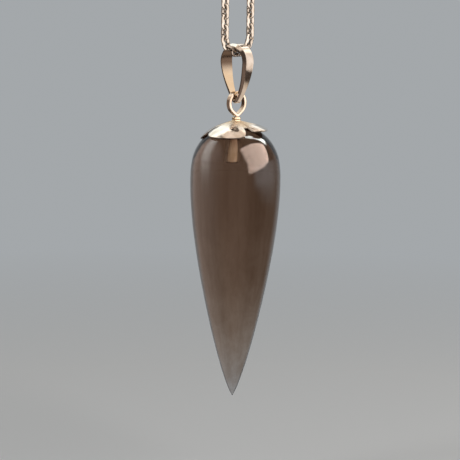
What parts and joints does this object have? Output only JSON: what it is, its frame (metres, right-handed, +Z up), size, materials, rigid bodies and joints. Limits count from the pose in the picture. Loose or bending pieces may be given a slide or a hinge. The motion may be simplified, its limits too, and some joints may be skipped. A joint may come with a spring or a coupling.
{
  "type": "stone drop pendant",
  "caption": "Polished smoky stone drop with a silver petal cap, hung by a loop and a folded bail on a short cable chain that closes in a claw clasp.",
  "frame": {"origin": "where the clasp is held: midway between the two strands, at the top of the clasp's cheeks", "axes": "+Z up along the hanging drop, +X from the strand on the clasp's tail eye to the strand on its hook, +Y away from the front"},
  "size_m": [0.0152, 0.0152, 0.0752],
  "materials": {
    "smoky_stone": "polished",
    "peg_brass": "satin",
    "cement": "gloss",
    "cap_silver": "polished",
    "loop_silver": "polished",
    "bail_silver": "polished",
    "chain_silver": "polished",
    "clasp_silver": "polished",
    "clasp_steel": "satin"
  },
  "bodies": {
    "clasp": {"clasp_claw": "clasp_silver", "clasp_pin": "clasp_steel", "clasp_spring": "clasp_steel"},
    "clasp_lever": {"clasp_lever": "clasp_silver"},
    "end_rings": {"left_end_ring": "chain_silver", "right_end_ring": "chain_silver"},
    "links_1": {"left_link_1": "chain_silver", "right_link_1": "chain_silver"},
    "links_2": {"left_link_2": "chain_silver", "right_link_2": "chain_silver"},
    "links_3": {"left_link_3": "chain_silver", "right_link_3": "chain_silver"},
    "links_4": {"left_link_4": "chain_silver", "right_link_4": "chain_silver"},
    "links_5": {"left_link_5": "chain_silver", "right_link_5": "chain_silver"},
    "links_6": {"left_link_6": "chain_silver", "right_link_6": "chain_silver"},
    "seat": {"seat_link_1": "chain_silver", "seat_link_2": "chain_silver", "seat_link_3": "chain_silver", "seat_link_4": "chain_silver", "seat_link_5": "chain_silver"},
    "bail": {"bail": "bail_silver"},
    "drop": {"hanging_loop": "loop_silver", "neck_collar": "cap_silver", "petal_cap": "cap_silver", "peg_post": "peg_brass", "peg_cement": "cement", "stone_drop": "smoky_stone"}
  },
  "joints": [
    {"name": "clasp_lever_press", "type": "hinge", "parent": "clasp", "child": "clasp_lever", "pos_m": [-0.00077, 0, -0.00065], "axis": [0, 1, 0], "range_deg": [0, 28], "stiffness_Nm_per_rad": 0.002, "springref_deg": -8.59, "deforming": ["clasp_spring"]},
    {"name": "end_rings_fold", "type": "hinge", "parent": "clasp", "child": "end_rings", "pos_m": [0, 0, -0.00315], "axis": [1, 0, 0], "range_deg": [-80, 80]},
    {"name": "links_1_fold", "type": "hinge", "parent": "end_rings", "child": "links_1", "pos_m": [0, 0, -0.00422], "axis": [-1, 0, 0], "range_deg": [-80, 80]},
    {"name": "links_2_fold", "type": "hinge", "parent": "links_1", "child": "links_2", "pos_m": [0, 0, -0.00647], "axis": [1, 0, 0], "range_deg": [-80, 80]},
    {"name": "links_3_fold", "type": "hinge", "parent": "links_2", "child": "links_3", "pos_m": [0, 0, -0.00764], "axis": [-1, 0, 0], "range_deg": [-80, 80]},
    {"name": "links_4_fold", "type": "hinge", "parent": "links_3", "child": "links_4", "pos_m": [0, 0, -0.00989], "axis": [1, 0, 0], "range_deg": [-80, 80]},
    {"name": "links_5_fold", "type": "hinge", "parent": "links_4", "child": "links_5", "pos_m": [0, 0, -0.01106], "axis": [-1, 0, 0], "range_deg": [-80, 80]},
    {"name": "links_6_fold", "type": "hinge", "parent": "links_5", "child": "links_6", "pos_m": [0, 0, -0.01331], "axis": [1, 0, 0], "range_deg": [-80, 80]},
    {"name": "seat_fold", "type": "hinge", "parent": "links_6", "child": "seat", "pos_m": [0, 0, -0.01451], "axis": [-1, 0, 0], "range_deg": [-75, 75]},
    {"name": "bail_swing", "type": "hinge", "parent": "seat", "child": "bail", "pos_m": [0, 0, -0.0188], "axis": [1, 0, 0], "range_deg": [-80, 80]},
    {"name": "drop_swing", "type": "hinge", "parent": "bail", "child": "drop", "pos_m": [0, 0, -0.02565], "axis": [0, 1, 0], "range_deg": [-75, 75]}
  ]
}
